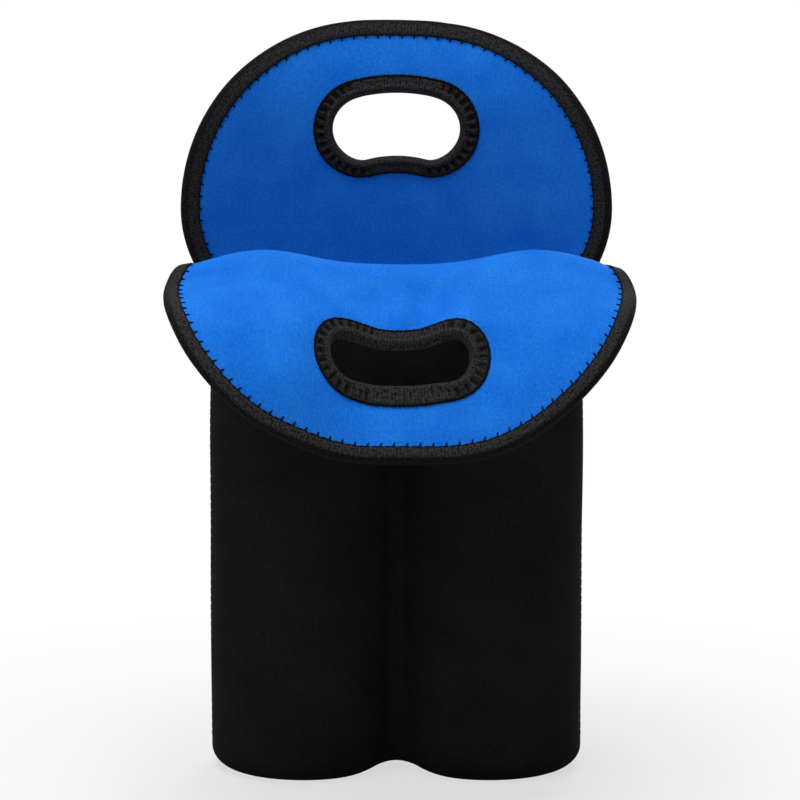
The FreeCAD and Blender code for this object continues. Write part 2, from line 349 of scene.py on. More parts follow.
# the folded head hangs over in a curve: tilt from upright, in degrees, at distances in mm from the ridge
droop = {"ridge": (-4.0 * mm, 3.5 * mm), "at": (-6, 0, 8, 20, 35, 50, 108),
         "tilt": (118, 90, 62, 54, 47, 41, 31), "step": 0.25, "past": 4, "blur": 25}
# its soft lie: each mound has a height, a place and a size; a lift, rise or fade has a start and a reach
lie = dict(inMm(sag=6.0, sagHalf=25, sagRise=38, sagFade=(46, 38),
                mounds=((-7.0, (12, 26), (10, 13)), (-3.5, (-9, 25), (9, 11)), (2.5, (1, 36), (8, 9)),
                        (3.0, (29, 44), (11, 13))),
                sway=0.7, swayAcross=34, swayDown=30, leftLift=18, leftFrom=(12, 42), leftDrop=1.0,
                rightLift=11.5, rightFrom=(36, 42), rightDrop=3.0, liftRise=(12, 45), liftFade=(70, 40),
                cornerReach=14, cornerAt=12, cornerSize=24, ridgeFade=34, aside=1.7),
           swayShift=0.6, liftLost=0.5, ridgeUp=(0, -0.2, 0.98))
# in mm along the ridge
ridge = {"swell": 7.0, "swellAt": 61, "swellSize": 27, "drop": 1.2, "dropFrom": (72, 26)}
# the standing head: its crown curls back and has settled, more on the right than on the left
stand = dict(inMm(curl=9, curlStart=64, settle=1.1, settleAt=-6, settleReach=30, settleRise=(80, 25),
                  sway=0.8, swayAcross=38, swayRise=60), settleLeft=-0.6, swayShift=-0.5)


def ridgeWave(x):
    # the fold rides up over each pocket, dips between them and drops at its ends
    x = np.abs(x) / mm
    swell = ridge["swell"] * bell(x, ridge["swellAt"], ridge["swellSize"])
    return mm * (swell - ridge["drop"] * rising(x, *ridge["dropFrom"]))


def droopLine():
    # the folded head's middle line from its tilts: distance, tilt, y and z
    step, blur = droop["step"], droop["blur"]
    v = np.arange(droop["at"][0], droop["at"][-1] + droop["past"], step)
    tilt = np.radians(np.interp(v, droop["at"], droop["tilt"]))
    tilt = np.convolve(np.pad(tilt, blur // 2, mode="edge"), np.ones(blur) / blur, "valid")
    y = -np.cumsum(np.sin(tilt)) * step * mm
    z = -np.cumsum(np.cos(tilt)) * step * mm
    first = np.argmin(np.abs(v))
    y += frontHinge[1] + droop["ridge"][0] - y[first]
    z += frontHinge[2] + droop["ridge"][1] - z[first]
    return v * mm, tilt, y, z


droopV, droopTilt, droopY, droopZ = droopLine()


def mound(x, v, height, at, size):
    return height * np.exp(-((x - at[0]) / size[0]) ** 2 - ((v - at[1]) / size[1]) ** 2)


def frontHeadPoint(x, v):
    # the folded head: hangs over from the ridge, and sags where the cut-out leaves its upper edge loose
    sagged = np.exp(-(x / lie["sagHalf"]) ** 4) * ease(v / lie["sagRise"]) * (1 - rising(v, *lie["sagFade"]))
    cut = v
    v = v + lie["sag"] * sagged
    tilt = np.interp(v, droopV, droopTilt)
    at = np.column_stack([x + lie["aside"], np.interp(v, droopV, droopY), np.interp(v, droopV, droopZ)])
    away = np.column_stack([0 * v, -np.cos(tilt), np.sin(tilt)])
    lift = ridgeWave(x) * bell(v, 0, lie["ridgeFade"])
    # dents beside the middle, swellings round the cut-out and an uneven lie
    out = sum(mound(x, v, *each) for each in lie["mounds"])
    out += lie["sway"] * np.sin(x / lie["swayAcross"] + lie["swayShift"]) * np.sin(v / lie["swayDown"])
    # the sides are stiff and stand out, and the corners at the fold turn down
    stiff = np.where(x < 0, lie["leftLift"] * rising(np.abs(x), *lie["leftFrom"]),
                     lie["rightLift"] * rising(np.abs(x), *lie["rightFrom"]))
    out += stiff * rising(v, *lie["liftRise"]) * (1 - lie["liftLost"] * rising(v, *lie["liftFade"]))
    nearEdge = ease((np.abs(x) - halfWidthAt(cut) + lie["cornerReach"]) / lie["cornerReach"])
    drop = np.where(x < 0, lie["leftDrop"], lie["rightDrop"])
    out -= drop * nearEdge * bell(v, lie["cornerAt"], lie["cornerSize"])
    return at + np.outer(lift, lie["ridgeUp"]) + away * out[:, None]


def backHeadPoint(x, v):
    # the standing head keeps the curve of the mouth, so its cut lies round an arc
    radius = head["curve"] - middle
    turn = x / head["curve"]
    y = radius * np.cos(turn) - head["centre"]
    sway = stand["sway"] * np.sin(x / stand["swayAcross"] + stand["swayShift"]) * ease(v / stand["swayRise"])
    curled = (v - stand["curlStart"]) / (head["height"] - stand["curlStart"])
    curl = stand["curl"] * np.clip(curled, 0, overrun) ** 2
    aside = np.clip((x - stand["settleAt"]) / stand["settleReach"], stand["settleLeft"], 1)
    settled = stand["settle"] * aside ** 2 * rising(v, *stand["settleRise"])
    return np.column_stack([radius * np.sin(turn), y + sway + curl, backHinge[2] + v - settled])


def headRow(point, height):
    v = np.full(sheetCut["columns"], height)
    return point(columnSide * halfWidthAt(v), v)


def withHead(rows, point, heights):
    return np.array(rows + [headRow(point, height) for height in heights]), heights, len(rows)


def frontGrid():
    rows = lowerRows()
    for z in steps(pocket["mouth"], sheetCut["foldStart"], sheetCut["collarStep"])[1:]:
        rows.append(collarRow(frontCollarSection, z))
    # the fold is a smooth bend from the collar to the head
    above, before = 1 * mm, 0.5 * mm
    start = rows[-1]
    startPull = unit(collarRow(frontCollarSection, sheetCut["foldStart"] + above) - start)
    end = headRow(frontHeadPoint, sheetCut["foldEnd"])
    endPull = unit(end - headRow(frontHeadPoint, sheetCut["foldEnd"] - before))
    reach = sheetCut["foldReach"]
    for t in np.linspace(0, 1, sheetCut["foldRows"] + 1)[1:-1]:
        bend = ((2 * t ** 3 - 3 * t ** 2 + 1) * start + (t ** 3 - 2 * t ** 2 + t) * reach * startPull
                + (3 * t ** 2 - 2 * t ** 3) * end + (t ** 3 - t ** 2) * reach * endPull)
        rows.append(bend)
    heights = steps(sheetCut["foldEnd"], head["height"], sheetCut["headStep"])
    return withHead(rows, frontHeadPoint, heights)


def backGrid():
    rows = [row * flipped for row in lowerRows()]
    for z in steps(pocket["mouth"], mouth["collar"], sheetCut["collarStep"])[1:]:
        rows.append(collarRow(backCollarSection, z, mouth["backFlare"]) * flipped)
    heights = steps(mouth["collar"] - backHinge[2], head["height"], sheetCut["headStep"])[1:]
    return withHead(rows, backHeadPoint, heights)


filled = dict(inMm(fullness=1.0, bottom=9, top=60, uneven=0.35, waves=(23, 41), unevenRise=30, seamDip=0.2,
                   seamSize=2.2, girth=225, end=4, endReach=20), turns=(4, 7))


def soften(grid, normals, firstHeadRow, phase):
    # a filled pocket: full, uneven by a fraction of a millimetre, sewn in at its side seams
    z = grid[:, :, 2]
    end = pocket["mouth"] + filled["end"]
    waves, turns = filled["waves"], filled["turns"]
    full = filled["fullness"] * ease(z / filled["bottom"]) * ease((pocket["mouth"] - z) / filled["top"])
    uneven = filled["uneven"] * np.sin(z / waves[0] + phase + turns[0] * columnSide) * np.cos(
        z / waves[1] - turns[1] * columnSide + 2 * phase)
    fromSeam = (1 - np.abs(columnSide)) * 0.5 * filled["girth"]
    seam = -filled["seamDip"] * bell(fromSeam, 0, filled["seamSize"])
    inBody = (np.arange(len(grid)) < firstHeadRow)[:, None] & (z < end)
    push = (full + uneven * ease(z / filled["unevenRise"]) + seam) * ease((end - z) / filled["endReach"])
    return grid + normals * np.where(inBody, push, 0)[:, :, None]


def gridNormals(grid, side):
    across = np.gradient(grid, axis=1)
    up = np.gradient(grid, axis=0)
    return unit(np.cross(across, up) * side)


def outlineDistance(x, v):
    # how far a place on a head lies inside its outline
    beside = np.maximum(np.abs(x) - head["flat"], 0)
    above = v - head["widest"]
    share = np.maximum(np.hypot(beside / head["reach"], above / head["rise"]), 1e-6)
    inside = np.hypot(beside, above) * (1 / share - 1)
    return np.where(above < 0, halfWidthAt(v) - np.abs(x), inside)


def handleDistance(x, v):
    # how far a place on a head lies outside the hand cut-out
    turn = np.clip(np.arctan2(x, v - handle["pivot"]), -handle["swing"], handle["swing"])
    nearX = handle["bend"] * np.sin(turn)
    nearV = handle["pivot"] + handle["bend"] * np.cos(turn)
    return np.hypot(x - nearX, v - nearV) - handle["width"] / 2


def addObject(name, data):
    made = bpy.data.objects.new(name, data)
    bpy.context.scene.collection.objects.link(made)
    return made


def meshObject(name, points, faces, uv, material):
    used = np.unique(faces)
    renumber = np.zeros(len(points), int)
    renumber[used] = np.arange(len(used))
    made = bpy.data.meshes.new(name)
    made.from_pydata(points[used].tolist(), [], renumber[faces].tolist())
    layer = made.uv_layers.new(name="cloth")
    layer.data.foreach_set("uv", uv[faces.reshape(-1)].astype(np.float32).ravel())
    made.polygons.foreach_set("use_smooth", np.ones(len(made.polygons), bool))
    made.materials.append(material)
    made.validate()
    return addObject(name, made)


def thickSheet(name, grid, normals, side, top, bottom, material, keep=None):
    # closed cloth between two depths, on the kept faces of a grid
    rows, columns = grid.shape[:2]
    index = np.arange(rows * columns).reshape(rows, columns)
    corners = meshed(index[:-1, :-1], index[:-1, 1:], index[1:, 1:], index[1:, :-1])
    faces = corners.reshape(-1, 4) if keep is None else corners[keep]
    if side < 0:
        faces = faces[:, ::-1]
    edges = np.concatenate([faces[:, [k, (k + 1) % 4]] for k in range(4)])
    known = set(map(tuple, edges))
    rim = np.array([edge for edge in map(tuple, edges) if (edge[1], edge[0]) not in known])
    count = rows * columns
    layers = [grid + normals * np.broadcast_to(depth, (rows, columns))[:, :, None] for depth in (top, bottom)]
    points = np.concatenate([layer.reshape(-1, 3) for layer in layers])
    points[:, 2] = np.maximum(points[:, 2], 0)
    walls = np.stack([rim[:, 1], rim[:, 0], rim[:, 0] + count, rim[:, 1] + count], 1)
    allFaces = np.concatenate([faces, faces[:, ::-1] + count, walls])
    down = runLength(grid[:, columns // 2])
    across = runLength(grid[rows // 2])
    uv = meshed(across[None, :], down[:, None]).reshape(-1, 2)
    return meshObject(name, points, allFaces, np.concatenate([uv, uv]), material)


# the cloth stops inside the binding, this far from the outline and from the hand cut-out
trim = inMm(outline=2.2, handle=3)


def keptFaces(grid, heights, firstHeadRow):
    keep = np.ones((grid.shape[0] - 1, grid.shape[1] - 1), bool)
    v = 0.5 * (heights[:-1] + heights[1:])[:, None]
    x = 0.5 * (columnSide[:-1] + columnSide[1:])[None, :] * halfWidthAt(v)
    keep[firstHeadRow:] = (outlineDistance(x, v) > trim["outline"]) & (handleDistance(x, v) > trim["handle"])
    return keep


def sample(field, row, column):
    # values of a grid at fractional rows and columns
    r = np.clip(np.floor(row).astype(int), 0, field.shape[0] - 2)
    c = np.clip(np.floor(column).astype(int), 0, field.shape[1] - 2)
    fr = (row - r)[:, None]
    fc = (column - c)[:, None]
    low = field[r, c] * (1 - fc) + field[r, c + 1] * fc
    high = field[r + 1, c] * (1 - fc) + field[r + 1, c + 1] * fc
    return low * (1 - fr) + high * fr


class Sheet:
    def __init__(self, grid, heights, firstHeadRow, side, phase):
        self.grid = soften(grid, gridNormals(grid, side), firstHeadRow, phase)
        self.normals = gridNormals(self.grid, side)
        self.up = np.gradient(self.grid, axis=0)
        self.across = np.gradient(self.grid, axis=1)
        self.heights = heights
        self.firstHeadRow = firstHeadRow
        self.side = side
        self.keep = keptFaces(grid, heights, firstHeadRow)

    def layer(self, name, top, bottom, material):
        return thickSheet(name, self.grid, self.normals, self.side, top, bottom, material, self.keep)

    def onHead(self, x, v):
        row = self.firstHeadRow + np.interp(v, self.heights, np.arange(len(self.heights)))
        return row, (x / halfWidthAt(v) + 1) / 2 * lastColumn

    def at(self, row, column):
        return sample(self.grid, row, column), unit(sample(self.normals, row, column))

    def beside(self, row, column, move):
        # where a short move along the cloth ends
        up = sample(self.up, row, column)
        across = sample(self.across, row, column)
        upUp, acrossAcross, upAcross = (up * up).sum(1), (across * across).sum(1), (up * across).sum(1)
        moveUp, moveAcross = (up * move).sum(1), (across * move).sum(1)
        scale = upUp * acrossAcross - upAcross ** 2
        return self.at(row + (moveUp * acrossAcross - moveAcross * upAcross) / scale,
                       column + (moveAcross * upUp - moveUp * upAcross) / scale)


sheets = {"front": Sheet(*frontGrid(), side=1, phase=0.3), "back": Sheet(*backGrid(), side=-1, phase=1.7)}
shells = {}
linings = {}
for label, sheet in sheets.items():
    shells[label] = sheet.layer(label + "Shell", cloth["outside"], cloth["join"], blackJersey)
    linings[label] = sheet.layer(label + "Lining", cloth["join"] - cloth["gap"], cloth["inside"], blueJersey)
print("cloth sheets made")


# Binding tape, folded over the edges

# rows of the rounded edge: distance inwards, depth under the face, both in mm, and share of the roll
tapeRound = ((3.4, 0.0, 0.0), (2.5, 0.0, 0.3), (1.6, 0.0, 1.0), (0.6, 0.2, 1.0), (-0.2, 0.7, 0.8),
             (-0.75, 1.4, 0.5))
# the rim settings place the painted shade on the tape's turned rim: where it starts, how far it fades in, and
# how strong it is (none round the hand cut-out)
tapeBase = inMm(thickness=1.0, ribFace=0.3, ribStart=2.9, ribEnd=0.6, rimEdge=1.9, rimReach=1.2)
edgeTape = dict(tapeBase, **inMm(frontWidth=6.0, backWidth=7.0, step=1.5, roll=0.0, ribs=0.0), rimPaintedShade=0.8,
                sidePoints=80)
handleTape = dict(tapeBase, **inMm(width=7.6, step=0.4, roll=0.6, ribs=0.9, ribPitch=3.2), ribBlur=6,
                  ribBend=(0.02, 0.04), rimPaintedShade=0.0)
# on the cut-out's crown side and fold side, how far the tape's edge is drawn into the opening near the
# middle, and how much wider the tape is there
tuck = {"front": inMm(crown=(3.2, 0.8), fold=(0.5, -1.0)),
        "back": inMm(crown=(-1.2, -1.2), fold=(-1.6, -1.6)), **inMm(sideReach=6, middleReach=18)}
tapeThread = inMm(inset=0.15, rise=0.45, tickReach=0.8, tickRise=0.2)


def tapeProfile(tape):
    # U section: distance inwards from the cloth's edge, and distance from its middle
    inner = middle + cloth["gap"]
    outer = middle + tape["thickness"]
    width = tape["width"]
    roll = tape["roll"]
    upper = [(width, inner), (width, inner + 0.4 * mm), (width - 0.5 * mm, outer - 0.2 * mm),
             (width * 0.8, outer), (width * 0.6, outer)]
    upper += [(inset * mm, outer - depth * mm + share * roll) for inset, depth, share in tapeRound]
    upper.append((-1.0 * mm - 0.4 * roll, outer - 2.2 * mm))
    rim = [(-tape["thickness"] - roll, 0.0)]
    lower = [(b, -n) for b, n in reversed(upper)]
    cavity = [(0.4 * mm, -inner), (0.1 * mm, 0.0), (0.4 * mm, inner)]
    return np.array(upper + rim + lower + cavity)


def edgePath(sheet):
    # from one side seam up the free edge, round the head and down to the other seam
    lastSideRow = sheet.onHead(np.array([0.0]), np.array([head["widest"]]))[0][0]
    side = np.linspace(bodyRows["freeEdge"], lastSideRow, edgeTape["sidePoints"])
    haunch = arc(0, 0, 1, 0, 90)[1:] * [head["reach"], head["rise"]] + [head["flat"], head["widest"]]
    rounded = np.concatenate([haunch, [[0, head["height"]]]])
    rows, columns = sheet.onHead(*rounded.T)
    rows = np.concatenate([side, rows])
    columns = np.concatenate([np.full(len(side), float(lastColumn)), columns])
    rows = np.concatenate([rows, rows[-2::-1]])
    columns = np.concatenate([columns, lastColumn - columns[-2::-1]])
    return evenPath(sheet, rows, columns, 0 * rows, edgeTape["step"])


def handlePath(sheet, tucked):
    # once round the cut-out
    swing = math.degrees(handle["swing"])
    pivot, bend, half = handle["pivot"], handle["bend"], handle["width"] / 2
    endX = bend * math.sin(handle["swing"])
    endV = pivot + bend * math.cos(handle["swing"])
    loop = np.concatenate([
        arc(0, pivot, bend + half, 90, 90 - swing)[:-1],
        arc(endX, endV, half, 90 - swing, -90 - swing)[:-1],
        arc(0, pivot, bend - half, 90 - swing, 90 + swing)[:-1],
        arc(-endX, endV, half, 270 + swing, 90 + swing)[:-1],
        arc(0, pivot, bend + half, 90 + swing, 90)])
    x, v = loop.T
    nearMiddle = ease((handle["length"] / 2 - np.abs(x)) / tuck["middleReach"])
    onCrown = ease((v - pivot - bend * np.cos(x / bend)) / tuck["sideReach"]) * nearMiddle
    onFold = nearMiddle - onCrown
    inwards = tucked["fold"][0] * onFold - tucked["crown"][0] * onCrown
    wider = tucked["fold"][1] * onFold + tucked["crown"][1] * onCrown
    return evenPath(sheet, *sheet.onHead(x, v + inwards), wider, handleTape["step"])


def evenPath(sheet, rows, columns, wider, step):
    run = runLength(sheet.at(rows, columns)[0])
    along = np.linspace(0, run[-1], int(run[-1] / step) + 1)
    rows, columns, wider = (np.interp(along, run, each) for each in (rows, columns, wider))
    points, normals = sheet.at(rows, columns)
    return {"points": points, "normals": normals, "along": along, "wider": wider, "rows": rows,
            "columns": columns}


def smoothed(values, rounds, closed):
    for _ in range(rounds):
        if closed:
            values = 0.25 * np.roll(values, 1, 0) + 0.5 * values + 0.25 * np.roll(values, -1, 0)
        else:
            values[1:-1] = 0.25 * values[:-2] + 0.5 * values[1:-1] + 0.25 * values[2:]
    return values


def addAxes(path, closed, towards):
    # directions along the tape, inwards from the cloth's edge and off the cloth; a loop drops its last point
    path["closed"] = closed
    if closed:
        for name in ("points", "normals", "rows", "columns", "wider"):
            path[name] = path[name][:-1]
    points = path["points"]
    if closed:
        tangents = unit(np.roll(points, -1, 0) - np.roll(points, 1, 0))
    else:
        tangents = unit(np.gradient(points, axis=0))
    normals = smoothed(path["normals"].copy(), 3, closed)
    inwards = unit(np.cross(normals, tangents))
    if ((towards - points) * inwards).sum() * (-1 if closed else 1) < 0:
        inwards = -inwards
    square = np.cross(tangents, inwards)
    path["tangents"] = tangents
    path["inwards"] = inwards
    path["normals"] = square * np.sign((square * normals).sum())
    return path


def onCloth(sheet, path, inset, offset):
    # places beside the cloth's edge: along the cloth, and off its middle
    laid = np.maximum(inset, 0)[:, None]
    surface, square = sheet.beside(path["rows"], path["columns"], path["inwards"] * laid)
    surface = np.where(laid > 0, surface, path["points"] + path["inwards"] * inset[:, None])
    return surface + np.where(laid > 0, square, path["normals"]) * offset[:, None]


def ribGather(path, tape):
    # the tape gathers into cross ribs where it turns round the ends of the cut-out
    tangents, length = path["tangents"], path["along"][-1]
    turn = np.linalg.norm(np.roll(tangents, -1, 0) - np.roll(tangents, 1, 0), axis=1) / (2 * tape["step"])
    bent = rising(smoothed(turn, tape["ribBlur"], True) * mm, *tape["ribBend"])
    count = round(length / tape["ribPitch"])
    return bent * (0.5 - 0.5 * np.cos(2 * math.pi * count * path["along"][:len(bent)] / length))


def sweepTape(name, sheet, path, tape):
    profile = tapeProfile(tape)
    closed = path["closed"]
    count = len(path["points"])
    gather = ribGather(path, tape) if tape["ribs"] else np.zeros(count)
    rings, paintedShades = [], []
    for b, n in profile:
        offset = np.full(count, n)
        ribbed = abs(n) > middle + tape["ribFace"] and tape["ribStart"] < b < tape["width"] - tape["ribEnd"]
        if ribbed:
            offset = n - np.sign(n) * tape["ribs"] * gather
        inset = b + path["wider"] * max(0, b / tape["width"])
        # painted shade: darker along the tape's rim where it turns over the edge, and in the rib grooves
        rim = tape["rimPaintedShade"] * ease((tape["rimEdge"] - b) / tape["rimReach"])
        paintedShades.append(np.maximum(gather if ribbed else 0 * gather, rim))
        rings.append(onCloth(sheet, path, inset, offset))
    index = np.arange(count * len(profile)).reshape(count, len(profile))
    following = np.roll(index, -1, 0) if closed else index[1:]
    current = index if closed else index[:-1]
    faces = meshed(current, np.roll(current, -1, 1), np.roll(following, -1, 1), following).reshape(-1, 4)
    across = runLength(np.concatenate([profile, profile[:1]]))[:-1]
    along = path["along"][:count]
    uv = meshed(along[:, None], across[None, :]).reshape(-1, 2)
    verts = np.stack(rings, 1).reshape(-1, 3)
    if signedVolume(verts, faces) < 0:
        faces = faces[:, ::-1]
    piece = meshObject(name, verts, faces, uv, tapeKnit)
    # the painted shade of each point, read by the tape material
    paintedShade = piece.data.attributes.new("paintedShade", "FLOAT", "POINT")
    paintedShade.data.foreach_set("value", np.stack(paintedShades, 1).astype(np.float32).ravel())
    if not closed:
        closeEnds(piece)
    return piece


def signedVolume(verts, faces):
    a, b, c, d = (verts[faces[:, k]] for k in range(4))
    return ((a * np.cross(b, c)).sum() + (a * np.cross(c, d)).sum()) / 6


def closeEnds(piece):
    mesh = bmesh.new()
    mesh.from_mesh(piece.data)
    bmesh.ops.holes_fill(mesh, edges=[edge for edge in mesh.edges if edge.is_boundary], sides=0)
    mesh.to_mesh(piece.data)
    mesh.free()


def tapeSeam(sheet, path, tape, reach, rise):
    # guide lines for thread along the tape's inner edge, on both faces
    inset = tape["width"] + reach + path["wider"]
    lines = []
    for face in (1, -1):
        line = onCloth(sheet, path, inset, np.full(len(inset), face * (middle + rise)))
        lines.append((line, path["normals"] * face, path["closed"]))
    return lines


atTape = (-tapeThread["inset"], tapeThread["rise"])
pastTape = (tapeThread["tickReach"], tapeThread["tickRise"])
stitchLines = {}
tapes = {}
for label, sheet in sheets.items():
    edge = dict(edgeTape, width=edgeTape[label + "Width"])
    handleMiddle = sheet.at(*sheet.onHead(np.array([0.0]), np.array([handle["above"]])))[0][0]
    edgeRun = addAxes(edgePath(sheet), False, handleMiddle)
    handleRun = addAxes(handlePath(sheet, tuck[label]), True, handleMiddle)
    tapes[label + "Edge"] = sweepTape(label + "EdgeTape", sheet, edgeRun, edge)
    tapes[label + "Handle"] = sweepTape(label + "HandleTape", sheet, handleRun, handleTape)
    stitchLines[label + "Edge"] = tapeSeam(sheet, edgeRun, edge, *atTape)
    stitchLines[label + "Ticks"] = tapeSeam(sheet, edgeRun, edge, *pastTape)
    stitchLines[label + "Handle"] = tapeSeam(sheet, handleRun, handleTape, *atTape)
print("binding tape made")


# Base, divider and inner seam tapes

base = dict(inMm(top=3.15, liningLow=4.15, liningTop=5.0, dome=0.8, domeFrom=(4, 20), seamLift=0.5,
                 seamSize=1.5, endGap=0.05, endHalf=0.3), columns=121, rows=41)
web = dict(inMm(low=8.6, high=177, reach=15.0, edgeHalf=3.9, middleHalf=1.8, round=3, sway=0.6, swayUp=27),
           rows=60, columns=25, roundTurns=(22, 45, 67, 90), thinnest=0.02)
seamTape = dict(inMm(half=6, low=14, high=176, thickness=0.5, girth=230), rows=82, columns=9)


def basePlate(name, low, high, material):
    # figure-of-eight plate, a little domed in each pocket and drawn in at its seam
    outline = pocketSection(pocket["heel"] + pocket["seamLand"])
    outline = outline[np.argsort(outline[:, 0])]
    end = outline[-1, 0]
    x = np.sin(np.linspace(-0.5, 0.5, base["columns"]) * math.pi) * (end - base["endGap"])
    reach = np.maximum(np.abs(np.interp(x, outline[:, 0], outline[:, 1])), base["endHalf"])
    share = np.sin(np.linspace(-0.5, 0.5, base["rows"]) * math.pi)
    y = share[:, None] * reach[None, :]
    edge = np.minimum((1 - np.abs(share))[:, None] * reach[None, :], (end - np.abs(x))[None, :])
    edge = np.clip(edge, 0, None)
    grid = meshed(x[None, :], y, creaseLift(x, 0.0)[None, :])
    lift = base["seamLift"] * bell(edge, 0, base["seamSize"]) + base["dome"] * rising(edge, *base["domeFrom"])
    return thickSheet(name, grid, np.array([0, 0, 1]), 1, high + 0.5 * lift, low + lift, material)


def dividerWeb(name):
    # two layers of lining sewn together, thin in the middle, flared into the creases, rounded at the top
    shoulder = web["high"] - web["round"]
    y = np.linspace(-web["reach"], web["reach"], web["columns"])
    z = np.concatenate([np.linspace(web["low"], shoulder, web["rows"]),
                        web["high"] - web["round"] * (1 - np.sin(np.radians(web["roundTurns"])))])
    above = ((z - web["high"] + web["round"]) / web["round"]).clip(0)
    taper = np.sqrt(np.clip(1 - above ** 2, web["thinnest"], 1))
    half = web["middleHalf"] + (web["edgeHalf"] - web["middleHalf"]) * (np.abs(y) / web["reach"]) ** 3
    sway = web["sway"] * np.sin(z / web["swayUp"])[:, None] * np.cos(y / web["reach"] * math.pi / 2)[None, :]
    grid = meshed(sway, y[None, :], z[:, None])
    thick = half[None, :] * taper[:, None]
    return thickSheet(name, grid, np.array([1, 0, 0]), 1, thick, -thick, blueJersey)


def innerSeamTape(name, side):
    # flat tape over the raw edges inside one side seam
    half = 0.5 * seamTape["thickness"]
    heights = np.linspace(seamTape["low"], seamTape["high"], seamTape["rows"])
    wall = np.arange(bodyRows["freeEdge"])
    rowAt = np.interp(heights, sheets["front"].grid[wall, lastColumn // 4, 2], wall)
    strips = []
    for offset in np.linspace(-seamTape["half"], seamTape["half"], seamTape["columns"]):
        sheet = sheets["front" if offset < 0 else "back"]
        column = lastColumn - abs(offset) / (seamTape["girth"] / lastColumn)
        column = np.full(len(rowAt), column if side > 0 else lastColumn - column)
        points, normals = sheet.at(rowAt, column)
        strips.append(points + normals * (cloth["inside"] - cloth["gap"] - half))
    grid = np.stack(strips, 1)
    return thickSheet(name, grid, gridNormals(grid, -side), -side, half, -half, tapeKnit)


basePanel = basePlate("basePanel", 0.0, base["top"], blackJersey)
baseLining = basePlate("baseLining", base["liningLow"], base["liningTop"], blueJersey)
divider = dividerWeb("dividerWeb")
innerTapes = {"left": innerSeamTape("leftSeamTape", -1), "right": innerSeamTape("rightSeamTape", 1)}
print("base, divider and seam tapes made")


# Sewing: one node tree lays stitches along guide lines

def stitchTree():
    tree = bpy.data.node_groups.new("stitchRun", "GeometryNodeTree")
    sockets = {"Geometry": "Geometry", "Spacing": "Float", "Stitch Length": "Float", "Thread Radius": "Float",
               "Slant": "Float", "Zigzag": "Float", "Thread": "Material"}
    for name, kind in sockets.items():
        tree.interface.new_socket(name, in_out="INPUT", socket_type="NodeSocket" + kind)
    tree.interface.new_socket("Geometry", in_out="OUTPUT", socket_type="NodeSocketGeometry")
    given = addNode(tree, "NodeGroupInput").outputs
    line = addNode(tree, "GeometryNodeMeshToCurve", {"Mesh": given["Geometry"]})
    even = addNode(tree, "GeometryNodeResampleCurve", {
        "Curve": line, "Length": given["Spacing"]}, mode="LENGTH")
    upwards = addNode(tree, "GeometryNodeInputNamedAttribute", {"Name": "up"}, data_type="FLOAT_VECTOR")
    along = addNode(tree, "GeometryNodeInputTangent")
    square = addNode(tree, "FunctionNodeAxesToRotation", {
        "Primary Axis": upwards, "Secondary Axis": along}, primary_axis="Z", secondary_axis="X")
    # every second stitch slants the other way in a zigzag
    count = addNode(tree, "GeometryNodeInputIndex")
    odd = addNode(tree, "ShaderNodeMath", {0: count, 1: 2.0}, operation="MODULO")
    swing = addNode(tree, "ShaderNodeMath", {0: given["Zigzag"], 1: -2.0}, operation="MULTIPLY")
    sign = addNode(tree, "ShaderNodeMath", {0: odd, 1: swing, 2: 1.0}, operation="MULTIPLY_ADD")
    slant = addNode(tree, "ShaderNodeMath", {0: sign, 1: given["Slant"]}, operation="MULTIPLY")
    turn = addNode(tree, "ShaderNodeCombineXYZ", {"Z": slant})
    zigzag = addNode(tree, "FunctionNodeEulerToRotation", {"Euler": turn})
    place = addNode(tree, "FunctionNodeRotateRotation", {
        "Rotation": square, "Rotate By": zigzag}, rotation_space="LOCAL")
    ball = addNode(tree, "GeometryNodeMeshUVSphere", {"Segments": 8, "Rings": 6, "Radius": 1.0})
    half = addNode(tree, "ShaderNodeMath", {0: given["Stitch Length"], 1: 0.5}, operation="MULTIPLY")
    size = addNode(tree, "ShaderNodeCombineXYZ", {
        "X": half, "Y": given["Thread Radius"], "Z": given["Thread Radius"]})
    stitch = addNode(tree, "GeometryNodeTransform", {"Geometry": ball, "Scale": size})
    laid = addNode(tree, "GeometryNodeInstanceOnPoints", {
        "Points": even, "Instance": stitch, "Rotation": place})
    real = addNode(tree, "GeometryNodeRealizeInstances", {"Geometry": laid})
    smooth = addNode(tree, "GeometryNodeSetShadeSmooth", {"Geometry": real})
    painted = addNode(tree, "GeometryNodeSetMaterial", {"Geometry": smooth, "Material": given["Thread"]})
    addNode(tree, "NodeGroupOutput", {"Geometry": painted})
    return tree


stitchRun = stitchTree()


def sewn(name, lines, look):
    # guide lines carry the direction away from the cloth; the result is a plain mesh
    points, ups, edges = [], [], []
    for line, up, closed in lines:
        first = len(points)
        points += line.tolist()
        ups += unit(up).tolist()
        edges += [(first + k, first + k + 1) for k in range(len(line) - 1)]
        if closed:
            edges.append((first + len(line) - 1, first))
    guide = bpy.data.meshes.new(name + "Guide")
    guide.from_pydata(points, edges, [])
    away = guide.attributes.new("up", "FLOAT_VECTOR", "POINT")
    away.data.foreach_set("vector", np.array(ups, np.float32).ravel())
    holder = addObject(name + "Guide", guide)
    modifier = holder.modifiers.new("stitches", "NODES")
    modifier.node_group = stitchRun
    values = {"Spacing": look["spacing"], "Stitch Length": look["length"], "Thread Radius": look["radius"],
              "Slant": math.radians(look["slant"]), "Zigzag": look["zigzag"], "Thread": thread}
    for socket in stitchRun.interface.items_tree:
        if socket.in_out == "INPUT" and socket.name in values:
            modifier[socket.identifier] = values[socket.name]
    evaluated = holder.evaluated_get(bpy.context.evaluated_depsgraph_get())
    made = bpy.data.meshes.new_from_object(evaluated)
    made.name = name
    bpy.data.objects.remove(holder)
    return addObject(name, made)


